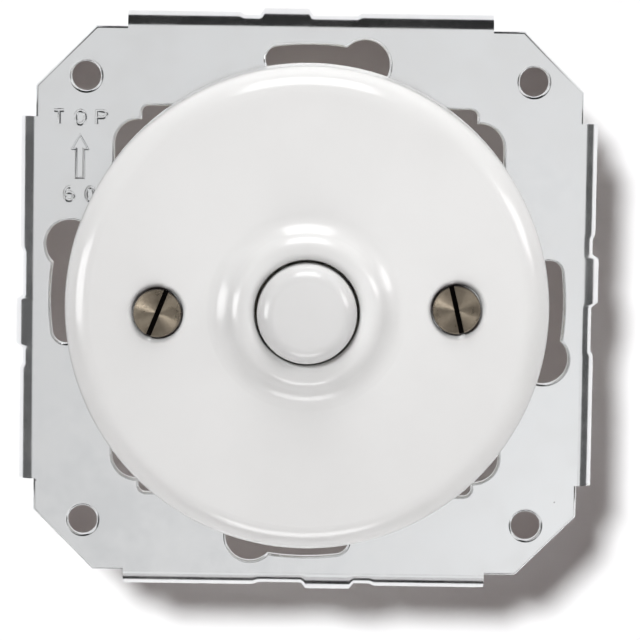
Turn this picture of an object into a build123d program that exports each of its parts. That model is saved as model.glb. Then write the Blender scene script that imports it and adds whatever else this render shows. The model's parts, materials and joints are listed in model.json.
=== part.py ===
from build123d import *
from math import cos, radians, sin
import os

# Flush push-button switch for a round wall box: a glazed porcelain cover and button on a pressed steel
# support frame, with a sprung double-break contact in a moulded base behind the frame. Millimetres.
# Pieces are drawn with the front towards +Z and the top towards +Y. The origin lies on the button's axis,
# in the plane of the frame's back, and the finished pieces are stood upright with the front towards -Y.

# Support frame, pressed from one sheet
SHEET = 1.0
FRAME_PITCH = 71.0  # across the plain faces of opposite flanges, so that frames stand side by side
PLATE_CORNER_CUT = 7.4
FLANGE_STANDOUT = 1.85  # from the plate's flat edge to the plain face of a flange
FLANGE_SETBACK = 11.25  # from a side of the plate to the end of the next flange
FLANGE_DEPTH = 4.0  # from the front of the plate to the rear edge of a flange
SMALLEST_BEND = 0.2
KEY_LENGTH = 6.0  # bump and recess that lock a frame to its neighbour
KEY_RELIEF = 2.5  # short recess beside the bump
KEY_SLOPE = 0.6  # sloping ends of the bump and the recesses
KEY_BUMP = 0.5
KEY_RECESS = 0.35
PUNCH_ROUND = 0.35  # rolled front edge left by the punch

# Openings of the support frame
KEYHOLE_EDGE = 3.65  # from the plate's edge to the slots' middle line, a 60 mm circle for the box screws
KEYHOLE_WIDTH = 3.3
KEYHOLE_HEAD = 6.1
KEYHOLE_HEAD_ANGLE = 12.9  # clockwise from the middle of the side
KEYHOLE_TAIL_ANGLE = 7.4  # the other way
CORNER_HOLE_EDGE = 6.2  # from a hole's axis to the sides of the plate
CORNER_HOLE = 3.6
WINDOW_RAIL = 9.75  # sheet left beside the window
WINDOW_STEP_WIDTH = 3.3  # stepped corners of the window
WINDOW_STEP_HEIGHT = 1.7
WINDOW_ROUND = 3.0
WINDOW_STEP_ROUND = 0.9
EAR_WIDTH = 12.5
EAR_END = 5.0  # from a screw's axis to the free end of its ear
EAR_ROUND = 2.5

# Porcelain cover
COVER_DIAMETER = 58.9
COVER_WALL = 3.2
COVER_DRAFT = 0.25  # taken off the radius between the rim and the shoulder
COVER_SHOULDER = 11.9  # from the plate to the corner that the shoulder rounds off
SHOULDER_ROUND = 3.6
RIM_ROUND = 0.7
DOME_RISE = 1.9
DOME_CROWN = 0.25
BOSS_WALL = 2.05  # from the bore to the corner that the boss's top edge rounds off
BOSS_FLARE = 2.2  # added to the radius from the top of the boss to its foot
BOSS_HEIGHT = 2.1
BOSS_FOOT_ROUND = 4.0
BOSS_TOP_ROUND = 2.4
BORE_ROUND = 0.9
INNER_ROUND = 1.5

# Porcelain button and its stem
BUTTON_DIAMETER = 11.9
BUTTON_CLEARANCE = 0.36
BUTTON_PROUD = 3.2
BUTTON_LENGTH = 11.7
BUTTON_ROUND = 2.2
BUTTON_CROWN = 0.2
BUTTON_FOOT_ROUND = 0.2
BUTTON_TRAVEL = 3.0
SOCKET_DEPTH = 5.5
STEM_DIAMETER = 6.0
STEM_GRIP = 2.2
STEM_CHAMFER = 0.5
PRESS_CLEARANCE = 0.02
SLIDE_CLEARANCE = 0.06

# Cover screws and the pillars that they enter
COVER_SCREW_PITCH = 35.8
COVER_TURN = 1.4  # as fitted, the line of the screws stands a little turned in the frame
HEAD_DIAMETER = 5.8
HEAD_HEIGHT = 2.1
HEAD_SINK = 1.0
HEAD_CLEARANCE = 0.15
HEAD_CROWN = 0.2
HEAD_EDGE = 0.35
HEAD_SLOT_WIDTH = 0.6
HEAD_SLOT_DEPTH = 1.0
LEFT_SLOT_LEAN = -23.0
RIGHT_SLOT_LEAN = 12.0
SEAT_ROUND = 0.6
SCREW_DIAMETER = 3.0
SCREW_CLEARANCE = 0.3
THREAD_CLEARANCE = 0.03
SCREW_GRIP = 6.0
SCREW_RUNOUT = 0.8
PILLAR_DIAMETER = 6.0
PILLAR_GAP = 0.3
PILLAR_CHAMFER = 0.5
RIVET_DIAMETER = 3.6
RIVET_HEAD_DIAMETER = 5.0
RIVET_HEAD_HEIGHT = 0.8
RIVET_POCKET_GAP = 0.15

# Moulded base and the guide plate that closes it
BASE_SIZE = 43.0
BASE_CORNER_CUT = 8.0
BASE_WALL = 2.0
BASE_DEPTH = 22.0
BASE_FLOOR = 2.0
BASE_EDGE_ROUND = 1.2
GUIDE_PLATE = 2.0
GUIDE_PLATE_LEDGE = 1.0
GUIDE_PLATE_CLEARANCE = 0.1
TURRET_DIAMETER = 10.0
TURRET_GAP = 0.5
TURRET_ROUND = 0.6
BASE_SCREW_EDGE = 4.5  # from a base screw's axis to the outside of the base
BASE_SCREW_LENGTH = 11.0
BASE_SCREW_HEAD_DIAMETER = 5.5
BASE_SCREW_HEAD_HEIGHT = 1.9
BASE_BOSS_DIAMETER = 6.4

# Sprung contact bridge and its carrier
STOP_GAP = 0.05
CARRIER_LENGTH = 7.0
CARRIER_CHEEK = 2.0
CARRIER_HEAD = 3.2
CARRIER_FOOT = 2.0
CARRIER_ROUND = 0.6
BRIDGE_WIDTH = 5.0
BRIDGE_SHEET = 1.0
BRIDGE_END = 1.9  # from a contact tip's axis to the end of the bridge
WINDOW_CLEARANCE = 0.1
GUIDE_RAIL = 1.6
GUIDE_RAIL_LENGTH = 10.0
TIP_SETBACK = 3.25  # from a tip's axis to the upright leg of its fixed contact
CONTACT_GAP = 2.2
TIP_DIAMETER = 3.2
TIP_HEIGHT = 0.8
TIP_EDGE = 0.15
CONTACT_SPRING_HEIGHT = 6.0
CONTACT_SPRING_DIAMETER = 4.2
CONTACT_SPRING_WIRE = 0.4
CONTACT_SPRING_TURNS = 5
RETURN_SPRING_DIAMETER = 6.0
RETURN_SPRING_WIRE = 0.45
RETURN_SPRING_TURNS = 4
SPRING_SEAT_GAP = 0.03
SPIGOT_HEIGHT = 0.7
SPIGOT_CLEARANCE = 0.25

# Terminals
STRIP = 1.0
STRIP_WIDTH = 5.0
TERMINAL_EDGE_GAP = 3.5  # from a terminal block's outer end to the outside of the base
TERMINAL_LENGTH = 6.0
TERMINAL_WIDTH = 8.0
TERMINAL_HEIGHT = 10.0
TERMINAL_CLEARANCE = 0.05
TERMINAL_CHEEK = 1.6
TERMINAL_EDGE = 0.4
NEST_DROP = 1.0  # from the top of a terminal block down to the top of its nest
HOLD_DOWN_LENGTH = 4.0
HOLD_DOWN_WIDTH = 2.4
WIRE_BORE = 3.4
WIRE_OFFSET = 0.8  # from the middle of a terminal block towards the button's axis
WIRE_BORE_ROOF = 1.5
CLAMP_SCREW_DIAMETER = 3.5
CLAMP_HEAD_DIAMETER = 5.0
CLAMP_HEAD_HEIGHT = 1.8
CLAMP_HEAD_GAP = 0.6
CLAMP_TIP_GAP = 0.1
CLAMP_SLOT_WIDTH = 0.9
CLAMP_SLOT_DEPTH = 0.9
CLAMP_ACCESS_CLEARANCE = 0.25

# Levels along the button's axis
plate_back = 0.0
plate_front = plate_back + SHEET
flange_end = plate_front - FLANGE_DEPTH
base_bottom = plate_back - BASE_DEPTH
floor_top = base_bottom + BASE_FLOOR
guide_plate_bottom = plate_back - GUIDE_PLATE
carrier_top = guide_plate_bottom - STOP_GAP
spring_roof = carrier_top - CARRIER_HEAD
bridge_top = spring_roof - CONTACT_SPRING_HEIGHT
bridge_bottom = bridge_top - BRIDGE_SHEET
carrier_bottom = bridge_bottom - CARRIER_FOOT
strip_top = bridge_bottom - CONTACT_GAP - 2 * TIP_HEIGHT
strip_bottom = strip_top - STRIP
terminal_top = floor_top + TERMINAL_HEIGHT
clamp_level = floor_top + TERMINAL_HEIGHT / 2
shoulder_level = plate_front + COVER_SHOULDER
boss_foot_level = shoulder_level + DOME_RISE
boss_top_level = boss_foot_level + BOSS_HEIGHT
button_top = boss_top_level + BUTTON_PROUD
button_bottom = button_top - BUTTON_LENGTH
turret_top = button_bottom - BUTTON_TRAVEL - TURRET_GAP

# Places across the button's axis
plate_size = FRAME_PITCH - 2 * FLANGE_STANDOUT
window_size = plate_size - 2 * WINDOW_RAIL
corner_hole_pitch = plate_size - 2 * CORNER_HOLE_EDGE
cover_radius = COVER_DIAMETER / 2
shoulder_radius = cover_radius - COVER_DRAFT
cover_inner_radius = shoulder_radius - COVER_WALL
bore_radius = BUTTON_DIAMETER / 2 + BUTTON_CLEARANCE
boss_top_radius = bore_radius + BOSS_WALL
boss_foot_radius = boss_top_radius + BOSS_FLARE
cover_screw_place = COVER_SCREW_PITCH / 2
base_screw_place = BASE_SIZE / 2 - BASE_SCREW_EDGE
carrier_width = BRIDGE_WIDTH + 2 * (WINDOW_CLEARANCE + CARRIER_CHEEK)
terminal_outer = BASE_SIZE / 2 - TERMINAL_EDGE_GAP
terminal_inner = terminal_outer - TERMINAL_LENGTH
terminal_place = (terminal_inner + terminal_outer) / 2
tip_place = terminal_inner - STRIP - TIP_SETBACK
strip_end = tip_place - BRIDGE_END
wire_place = terminal_place - WIRE_OFFSET
stem_radius = STEM_DIAMETER / 2
SIDES = (-1, 1)


def dome_level(radius):
    """Height of the cover's dome, without its crown, at a radius."""
    slope = DOME_RISE / (shoulder_radius - boss_foot_radius)
    return shoulder_level + slope * (shoulder_radius - radius)


def underside_level(radius):
    """Height of the inside of the cover's dome at a radius."""
    return dome_level(radius) - COVER_WALL


def block(x_range, y_range, z_range):
    """Box between pairs of limits."""
    low, high = (Vector(*(pair[end] for pair in (x_range, y_range, z_range))) for end in (0, 1))
    size = high - low
    return Pos(*low) * Box(size.X, size.Y, size.Z, align=Align.MIN)


def rod(radius, bottom, top, x=0, y=0):
    """Cylinder along the button's axis."""
    return Pos(x, y, bottom) * Cylinder(radius, top - bottom, align=(Align.CENTER, Align.CENTER, Align.MIN))


def cross_rod(radius, start, end, level):
    """Cylinder along X, between two places on a given level."""
    return Pos(start, 0, level) * Rot(0, 90, 0) * rod(radius, 0, end - start)


def prism(sketch, bottom, top):
    """Flat outline carried from one level to another."""
    return extrude(Pos(0, 0, bottom) * sketch, top - bottom)


def turned(outline, rounds=()):
    """Solid turned about the button's axis from edges in radius and height, with rounded corners."""
    face = make_face(outline)
    for point, radius in rounds:
        face = fillet(face.vertices().sort_by_distance((*point, 0))[0], radius)
    return revolve(Plane.XZ * face, Axis.Z)


def crown(edge, rise):
    """Arc from the edge of a turned face up to the axis, level where it meets the axis."""
    radius = (edge[0] ** 2 + rise ** 2) / (2 * rise)
    return RadiusArc(edge, (0, edge[1] + rise), -radius)


def bevelled_square(size, cut):
    """Square outline with its corners cut at 45 degrees."""
    square = Rectangle(size, size)
    return chamfer(square.vertices(), cut)


def four_sides(shape):
    """The same shape on all four sides of the frame."""
    return [Rot(0, 0, 90 * side) * shape for side in range(4)]


def both_sides(shape):
    """A shape and its mirror image left of the button's axis."""
    return [shape, mirror(shape, Plane.YZ)]


def at_cover_screws(shape):
    """A shape drawn on the button's axis, moved to both cover screws."""
    return [Rot(0, 0, COVER_TURN) * Pos(side * cover_screw_place, 0, 0) * shape for side in SIDES]


def flange_section(place, step):
    """Bent edge of the sheet at a place along the top side, with its face a step outside the plain one."""
    root = plate_size / 2
    outer = FLANGE_STANDOUT + step
    inner = max(outer - SHEET, SMALLEST_BEND)
    face = root + outer
    wall = face - SHEET
    start = root - SHEET
    section = make_face([
        Line((start, plate_front), (root, plate_front)),
        RadiusArc((root, plate_front), (face, plate_front - outer), outer),
        Line((face, plate_front - outer), (face, flange_end)),
        Line((face, flange_end), (wall, flange_end)),
        Line((wall, flange_end), (wall, plate_back - inner)),
        RadiusArc((wall, plate_back - inner), (wall - inner, plate_back), -inner),
        Line((wall - inner, plate_back), (start, plate_back)),
        Line((start, plate_back), (start, plate_front)),
    ])
    return Plane.YZ.offset(place) * section


def flange():
    """Flange of the top side, with the bump and recesses that lock it to the next frame."""
    half = plate_size / 2 - FLANGE_SETBACK
    slope = KEY_SLOPE / 2
    relief = KEY_LENGTH + KEY_RELIEF
    stations = [
        (-half, 0),
        (-relief - slope, 0),
        (-relief + slope, -KEY_RECESS),
        (-KEY_LENGTH - slope, -KEY_RECESS),
        (-KEY_LENGTH + slope, KEY_BUMP),
        (-slope, KEY_BUMP),
        (slope, -KEY_RECESS),
        (KEY_LENGTH - slope, -KEY_RECESS),
        (KEY_LENGTH + slope, 0),
        (half, 0),
    ]
    return loft([flange_section(place, step) for place, step in stations], ruled=True)


def keyhole():
    """Keyhole slot of the top side, along the circle of the box screws."""
    radius = plate_size / 2 - KEYHOLE_EDGE
    head_angle = 90 - KEYHOLE_HEAD_ANGLE
    middle = CenterArc((0, 0), radius, head_angle, KEYHOLE_HEAD_ANGLE + KEYHOLE_TAIL_ANGLE)
    place = (radius * cos(radians(head_angle)), radius * sin(radians(head_angle)))
    return SlotArc(middle, KEYHOLE_WIDTH) + Pos(*place) * Circle(KEYHOLE_HEAD / 2)


def ear(edge, screw_place):
    """Tongue that reaches in from the right-hand edge of the window to carry a screw."""
    inner = screw_place - EAR_END
    length = edge - inner + EAR_ROUND
    return Pos(inner + length / 2, 0) * RectangleRounded(length, EAR_WIDTH, EAR_ROUND)


def support_frame():
    """Pressed sheet with four bent flanges, keyholes, corner holes and a stepped window."""
    window = RectangleRounded(window_size, window_size - 2 * WINDOW_STEP_HEIGHT, WINDOW_ROUND)
    window += RectangleRounded(window_size - 2 * WINDOW_STEP_WIDTH, window_size, WINDOW_STEP_ROUND)
    window -= both_sides(ear(window_size / 2, cover_screw_place))
    top_ear = Rot(0, 0, 90) * ear(window_size / 2, base_screw_place)
    window -= [top_ear, mirror(top_ear, Plane.XZ)]
    outline = bevelled_square(plate_size, PLATE_CORNER_CUT) - window
    outline -= four_sides(keyhole())
    outline -= GridLocations(corner_hole_pitch, corner_hole_pitch, 2, 2) * Circle(CORNER_HOLE / 2)
    plate = prism(outline, plate_back, plate_front)
    plate = fillet(plate.faces().sort_by(Axis.Z)[-1].edges(), PUNCH_ROUND)
    frame = plate + four_sides(flange())
    frame -= at_cover_screws(rod(RIVET_DIAMETER / 2, plate_back, plate_front))
    for side in SIDES:
        frame -= rod(SCREW_DIAMETER / 2 + SCREW_CLEARANCE, plate_back, plate_front, y=side * base_screw_place)
    return frame


def porcelain_cover():
    """Tall glazed cup with a domed face, a raised boss round the button and two sunk screw seats."""
    foot = (boss_foot_radius, boss_foot_level)
    boss = (boss_top_radius, boss_top_level)
    shoulder = (shoulder_radius, shoulder_level)
    rim = (cover_radius, plate_front)
    inner_rim = (cover_inner_radius, plate_front)
    inner_corner = (cover_inner_radius, underside_level(cover_inner_radius))
    bore_inner = (bore_radius, underside_level(bore_radius))
    bore_outer = (bore_radius, boss_top_level)
    outline = [
        Polyline(foot, boss, bore_outer, bore_inner, inner_corner, inner_rim, rim, shoulder),
        SagittaArc(shoulder, foot, -DOME_CROWN),
    ]
    rounds = [
        (foot, BOSS_FOOT_ROUND),
        (boss, BOSS_TOP_ROUND),
        (bore_outer, BORE_ROUND),
        (inner_corner, INNER_ROUND),
        (inner_rim, RIM_ROUND),
        (rim, RIM_ROUND),
        (shoulder, SHOULDER_ROUND),
    ]
    cover = turned(outline, rounds)
    seat = dome_level(cover_screw_place) - HEAD_SINK
    for side in SIDES:
        place = side * cover_screw_place
        cover -= rod(HEAD_DIAMETER / 2 + HEAD_CLEARANCE, seat, button_top, x=place)
        cover -= rod(SCREW_DIAMETER / 2 + SCREW_CLEARANCE, plate_front, button_top, x=place)
        mouth = cover.edges().sort_by_distance((place, HEAD_DIAMETER / 2, seat + HEAD_SINK))[0]
        cover = fillet(mouth, SEAT_ROUND)
    return Rot(0, 0, COVER_TURN) * cover


def button_cap():
    """Porcelain push button with a crowned face and a blind socket for its stem."""
    radius = BUTTON_DIAMETER / 2
    socket_radius = stem_radius + PRESS_CLEARANCE
    socket_top = button_bottom + SOCKET_DEPTH
    edge = (radius, button_top - BUTTON_CROWN)
    outline = [
        Polyline((0, button_top), (0, socket_top), (socket_radius, socket_top),
                 (socket_radius, button_bottom), (radius, button_bottom), edge),
        crown(edge, BUTTON_CROWN),
    ]
    return turned(outline, [(edge, BUTTON_ROUND), ((radius, button_bottom), BUTTON_FOOT_ROUND)])


def button_stem():
    """Brass pin that joins the button to the carrier and slides in the turret."""
    pin = rod(stem_radius, carrier_top - STEM_GRIP, button_bottom + SOCKET_DEPTH - PRESS_CLEARANCE)
    return chamfer(pin.edges().filter_by(GeomType.CIRCLE), STEM_CHAMFER)


def cheese_screw(head_diameter, head_height, shank_bottom, seat, slot_width, slot_depth):
    """Slotted screw on the button's axis with its head above a seat."""
    radius = head_diameter / 2
    top = seat + head_height
    edge = (radius, top - HEAD_CROWN)
    outline = [
        Polyline((0, top), (0, shank_bottom), (SCREW_DIAMETER / 2, shank_bottom),
                 (SCREW_DIAMETER / 2, seat), (radius, seat), edge),
        crown(edge, HEAD_CROWN),
    ]
    screw = turned(outline, [(edge, HEAD_EDGE), ((SCREW_DIAMETER / 2, shank_bottom), HEAD_EDGE)])
    slot_floor = top - HEAD_CROWN - slot_depth
    return screw - block((-slot_width / 2, slot_width / 2), (-radius, radius), (slot_floor, top))


def cover_screws():
    """Two cheese-head screws that hold the cover, with their slots as they were left."""
    seat = dome_level(cover_screw_place) - HEAD_SINK
    screw = cheese_screw(HEAD_DIAMETER, HEAD_HEIGHT, pillar_top() - SCREW_GRIP, seat,
                         HEAD_SLOT_WIDTH, HEAD_SLOT_DEPTH)
    left = at_cover_screws(Rot(0, 0, LEFT_SLOT_LEAN) * screw)[0]
    right = at_cover_screws(Rot(0, 0, RIGHT_SLOT_LEAN) * screw)[1]
    return [left, right]


def pillar_top():
    """Level of the pillars' ends, just short of the inside of the cover."""
    return underside_level(cover_screw_place + PILLAR_DIAMETER / 2) - PILLAR_GAP


def cover_pillars():
    """Two brass pillars riveted to the side ears of the frame and tapped for the cover screws."""
    top = pillar_top()
    pillar = rod(PILLAR_DIAMETER / 2, plate_front, top)
    pillar = chamfer(pillar.edges().group_by(Axis.Z)[-1], PILLAR_CHAMFER)
    pillar += rod(RIVET_DIAMETER / 2 - PRESS_CLEARANCE, plate_back, plate_front)
    pillar += rod(RIVET_HEAD_DIAMETER / 2, plate_back - RIVET_HEAD_HEIGHT, plate_back)
    pillar -= rod(SCREW_DIAMETER / 2 + THREAD_CLEARANCE, top - SCREW_GRIP - SCREW_RUNOUT, top)
    return at_cover_screws(pillar)


def rivet_pockets():
    """Room for the rivet heads of the pillars behind the frame."""
    depth = RIVET_HEAD_HEIGHT + RIVET_POCKET_GAP
    return at_cover_screws(rod(RIVET_HEAD_DIAMETER / 2 + RIVET_POCKET_GAP, plate_back - depth, plate_back))


def terminal_nest():
    """Moulded nest of the right-hand terminal, with a step for the fixed contact."""
    half = TERMINAL_WIDTH / 2 + TERMINAL_CLEARANCE
    outside = half + TERMINAL_CHEEK
    outer_end = terminal_outer + TERMINAL_CLEARANCE
    nest_top = terminal_top - NEST_DROP
    strip_back = terminal_inner - STRIP
    nest = block((strip_end, BASE_SIZE / 2 - BASE_WALL), (-outside, outside), (floor_top, nest_top))
    nest -= block((strip_back, outer_end), (-half, half), (floor_top, nest_top))
    return nest - block((strip_end, strip_back), (-half, half), (strip_bottom, nest_top))


def mechanism_base():
    """Moulded cup that holds the contacts, with a ledge for the guide plate and screw bosses."""
    shell = prism(bevelled_square(BASE_SIZE, BASE_CORNER_CUT), base_bottom, plate_back)
    shell = fillet(shell.faces().sort_by(Axis.Z)[0].edges(), BASE_EDGE_ROUND)
    shell -= prism(offset(bevelled_square(BASE_SIZE, BASE_CORNER_CUT), -BASE_WALL), floor_top, plate_back)
    boss = rod(BASE_BOSS_DIAMETER / 2, floor_top, guide_plate_bottom)
    base = shell + [Pos(0, side * base_screw_place, 0) * boss for side in SIDES]
    base -= prism(offset(bevelled_square(BASE_SIZE, BASE_CORNER_CUT), -GUIDE_PLATE_LEDGE),
                  guide_plate_bottom, plate_back)
    base += both_sides(terminal_nest())
    rail = carrier_width / 2 + SLIDE_CLEARANCE
    rail_length = (-GUIDE_RAIL_LENGTH / 2, GUIDE_RAIL_LENGTH / 2)
    for rail_range in ((rail, rail + GUIDE_RAIL), (-rail - GUIDE_RAIL, -rail)):
        base += block(rail_length, rail_range, (floor_top, carrier_bottom))
    base += rod(return_spigot_radius(), floor_top, floor_top + SPIGOT_HEIGHT)
    access = CLAMP_HEAD_DIAMETER / 2 + CLAMP_ACCESS_CLEARANCE
    base -= both_sides(cross_rod(access, terminal_outer, BASE_SIZE / 2, clamp_level))
    for side in SIDES:
        base -= rod(WIRE_BORE / 2, base_bottom, floor_top, x=side * wire_place)
        base -= rod(SCREW_DIAMETER / 2 + THREAD_CLEARANCE, plate_front - BASE_SCREW_LENGTH - SCREW_RUNOUT,
                    guide_plate_bottom, y=side * base_screw_place)
    return base - rivet_pockets()


def guide_plate():
    """Moulded lid with a turret that guides the stem and legs that hold the terminals down."""
    inset = GUIDE_PLATE_LEDGE + GUIDE_PLATE_CLEARANCE
    plate = prism(offset(bevelled_square(BASE_SIZE, BASE_CORNER_CUT), -inset), guide_plate_bottom, plate_back)
    turret = rod(TURRET_DIAMETER / 2, plate_back, turret_top)
    turret = fillet(turret.edges().group_by(Axis.Z)[-1], TURRET_ROUND)
    legs = block((terminal_place - HOLD_DOWN_LENGTH / 2, terminal_place + HOLD_DOWN_LENGTH / 2),
                 (-HOLD_DOWN_WIDTH / 2, HOLD_DOWN_WIDTH / 2),
                 (terminal_top + TERMINAL_CLEARANCE, guide_plate_bottom))
    plate += [turret, *both_sides(legs)]
    plate -= rod(stem_radius + SLIDE_CLEARANCE, guide_plate_bottom, turret_top)
    for side in SIDES:
        plate -= rod(SCREW_DIAMETER / 2 + SCREW_CLEARANCE, guide_plate_bottom, plate_back,
                     y=side * base_screw_place)
    return plate - rivet_pockets()


def base_screws():
    """Two screws that clamp the base and its guide plate behind the top and bottom ears."""
    screw = cheese_screw(BASE_SCREW_HEAD_DIAMETER, BASE_SCREW_HEAD_HEIGHT, plate_front - BASE_SCREW_LENGTH,
                         plate_front, HEAD_SLOT_WIDTH, HEAD_SLOT_DEPTH)
    return [Pos(0, side * base_screw_place, 0) * screw for side in SIDES]


def contact_spigot_radius():
    """Radius of the pins that centre the contact spring."""
    return (CONTACT_SPRING_DIAMETER - CONTACT_SPRING_WIRE) / 2 - CONTACT_SPRING_WIRE / 2 - SPIGOT_CLEARANCE


def return_spigot_radius():
    """Radius of the pins that centre the return spring."""
    return (RETURN_SPRING_DIAMETER - RETURN_SPRING_WIRE) / 2 - RETURN_SPRING_WIRE / 2 - SPIGOT_CLEARANCE


def bridge_carrier():
    """Moulded carrier with a window in which the bridge rides on its spring."""
    half_length = CARRIER_LENGTH / 2
    half_width = carrier_width / 2
    window = BRIDGE_WIDTH / 2 + WINDOW_CLEARANCE
    body = block((-half_length, half_length), (-half_width, half_width), (carrier_bottom, carrier_top))
    body = fillet(body.edges().filter_by(Axis.Z), CARRIER_ROUND)
    body -= block((-half_length, half_length), (-window, window), (bridge_bottom, spring_roof))
    body += rod(contact_spigot_radius(), spring_roof - SPIGOT_HEIGHT, spring_roof)
    body += rod(return_spigot_radius(), carrier_bottom - SPIGOT_HEIGHT, carrier_bottom)
    return body - rod(stem_radius + PRESS_CLEARANCE, carrier_top - STEM_GRIP, carrier_top)


def contact_bridge():
    """Flat copper-alloy bar that joins the two fixed contacts when the button is down."""
    half_length = tip_place + BRIDGE_END
    bar = prism(RectangleRounded(2 * half_length, BRIDGE_WIDTH, BRIDGE_END / 2), bridge_bottom, bridge_top)
    return bar + rod(contact_spigot_radius(), bridge_top, bridge_top + SPIGOT_HEIGHT)


def tip(bottom, rounded_end):
    """Silver contact tip, with a softened edge at its working end."""
    button = rod(TIP_DIAMETER / 2, bottom, bottom + TIP_HEIGHT)
    return chamfer(button.edges().group_by(Axis.Z)[rounded_end], TIP_EDGE)


def bridge_contact_tips():
    """Two silver tips under the ends of the bridge."""
    return both_sides(Pos(tip_place, 0, 0) * tip(bridge_bottom - TIP_HEIGHT, 0))


def fixed_contact_tips():
    """Two silver tips on the fixed contacts."""
    return both_sides(Pos(tip_place, 0, 0) * tip(strip_top, -1))


def spring(diameter, wire, turns, bottom, top):
    """Coil spring of round wire between two levels."""
    rise = top - bottom - wire - 2 * SPRING_SEAT_GAP
    radius = (diameter - wire) / 2
    path = Pos(0, 0, bottom + wire / 2 + SPRING_SEAT_GAP) * Helix(rise / turns, rise, radius)
    return sweep(Plane(path @ 0, z_dir=path % 0) * Circle(wire / 2), path)


def contact_spring():
    """Spring that presses the bridge on the floor of the carrier's window."""
    return spring(CONTACT_SPRING_DIAMETER, CONTACT_SPRING_WIRE, CONTACT_SPRING_TURNS, bridge_top, spring_roof)


def return_spring():
    """Spring that lifts the carrier and the button again."""
    return spring(RETURN_SPRING_DIAMETER, RETURN_SPRING_WIRE, RETURN_SPRING_TURNS, floor_top, carrier_bottom)


def fixed_contact():
    """Right-hand contact strip: a foot under the tip and a leg up the terminal block's inner face."""
    half = STRIP_WIDTH / 2
    foot = block((strip_end, terminal_inner), (-half, half), (strip_bottom, strip_top))
    leg = block((terminal_inner - STRIP, terminal_inner), (-half, half), (strip_bottom, terminal_top))
    strip = foot + leg
    heel = strip.edges().filter_by(Axis.Y).sort_by_distance((terminal_inner, 0, strip_bottom))[0]
    return fillet(heel, STRIP)


def terminal_block():
    """Right-hand brass block with a bore for the wire and a tapped hole for its clamp screw."""
    half = TERMINAL_WIDTH / 2
    body = block((terminal_inner, terminal_outer), (-half, half), (floor_top, terminal_top))
    body = chamfer(body.edges().filter_by(Axis.Z), TERMINAL_EDGE)
    body -= rod(WIRE_BORE / 2, floor_top, terminal_top - WIRE_BORE_ROOF, x=wire_place)
    tapped_radius = CLAMP_SCREW_DIAMETER / 2 + THREAD_CLEARANCE
    return body - cross_rod(tapped_radius, wire_place, terminal_outer, clamp_level)


def terminal_screws():
    """Two clamp screws, reached from the sides of the base."""
    seat = terminal_outer + CLAMP_HEAD_GAP
    head_end = seat + CLAMP_HEAD_HEIGHT
    tip_end = wire_place + WIRE_BORE / 2 + CLAMP_TIP_GAP
    head_radius = CLAMP_HEAD_DIAMETER / 2
    screw = cross_rod(CLAMP_SCREW_DIAMETER / 2, tip_end, seat, clamp_level)
    screw += cross_rod(head_radius, seat, head_end, clamp_level)
    half = CLAMP_SLOT_WIDTH / 2
    screw -= block((head_end - CLAMP_SLOT_DEPTH, head_end), (-head_radius, head_radius),
                   (clamp_level - half, clamp_level + half))
    return both_sides(screw)


def stood_up(solids):
    """Pieces of one node turned from the drawing position to their place on the wall."""
    upright = Rot(90, 0, 0)
    if isinstance(solids, list):
        return Compound(children=[upright * solid for solid in solids])
    return upright * solids


right_contact = fixed_contact()
right_terminal = terminal_block()
nodes = {
    "support_frame": support_frame(),
    "porcelain_cover": porcelain_cover(),
    "button_cap": button_cap(),
    "button_stem": button_stem(),
    "cover_screws": cover_screws(),
    "cover_pillars": cover_pillars(),
    "mechanism_base": mechanism_base(),
    "guide_plate": guide_plate(),
    "base_screws": base_screws(),
    "bridge_carrier": bridge_carrier(),
    "contact_bridge": contact_bridge(),
    "bridge_contact_tips": bridge_contact_tips(),
    "contact_spring": contact_spring(),
    "return_spring": return_spring(),
    "fixed_contact_left": mirror(right_contact, Plane.YZ),
    "fixed_contact_right": right_contact,
    "fixed_contact_tips": fixed_contact_tips(),
    "terminal_block_left": mirror(right_terminal, Plane.YZ),
    "terminal_block_right": right_terminal,
    "terminal_screws": terminal_screws(),
}

os.makedirs("parts", exist_ok=True)
for name, solids in nodes.items():
    export_step(stood_up(solids), f"parts/{name}.step")
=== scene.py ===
"""Dresses the push-button switch: a finish for every piece, stamped marks on the frame, and the studio.

All lengths are in metres, in the frame of the parts: the front faces -Y and the top +Z.
"""

import contextlib
import functools
import json
import logging
import math
from collections.abc import Iterator, Sequence
from dataclasses import dataclass, field, replace
from enum import Enum

import bpy
from mathutils import Matrix, Vector


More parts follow.
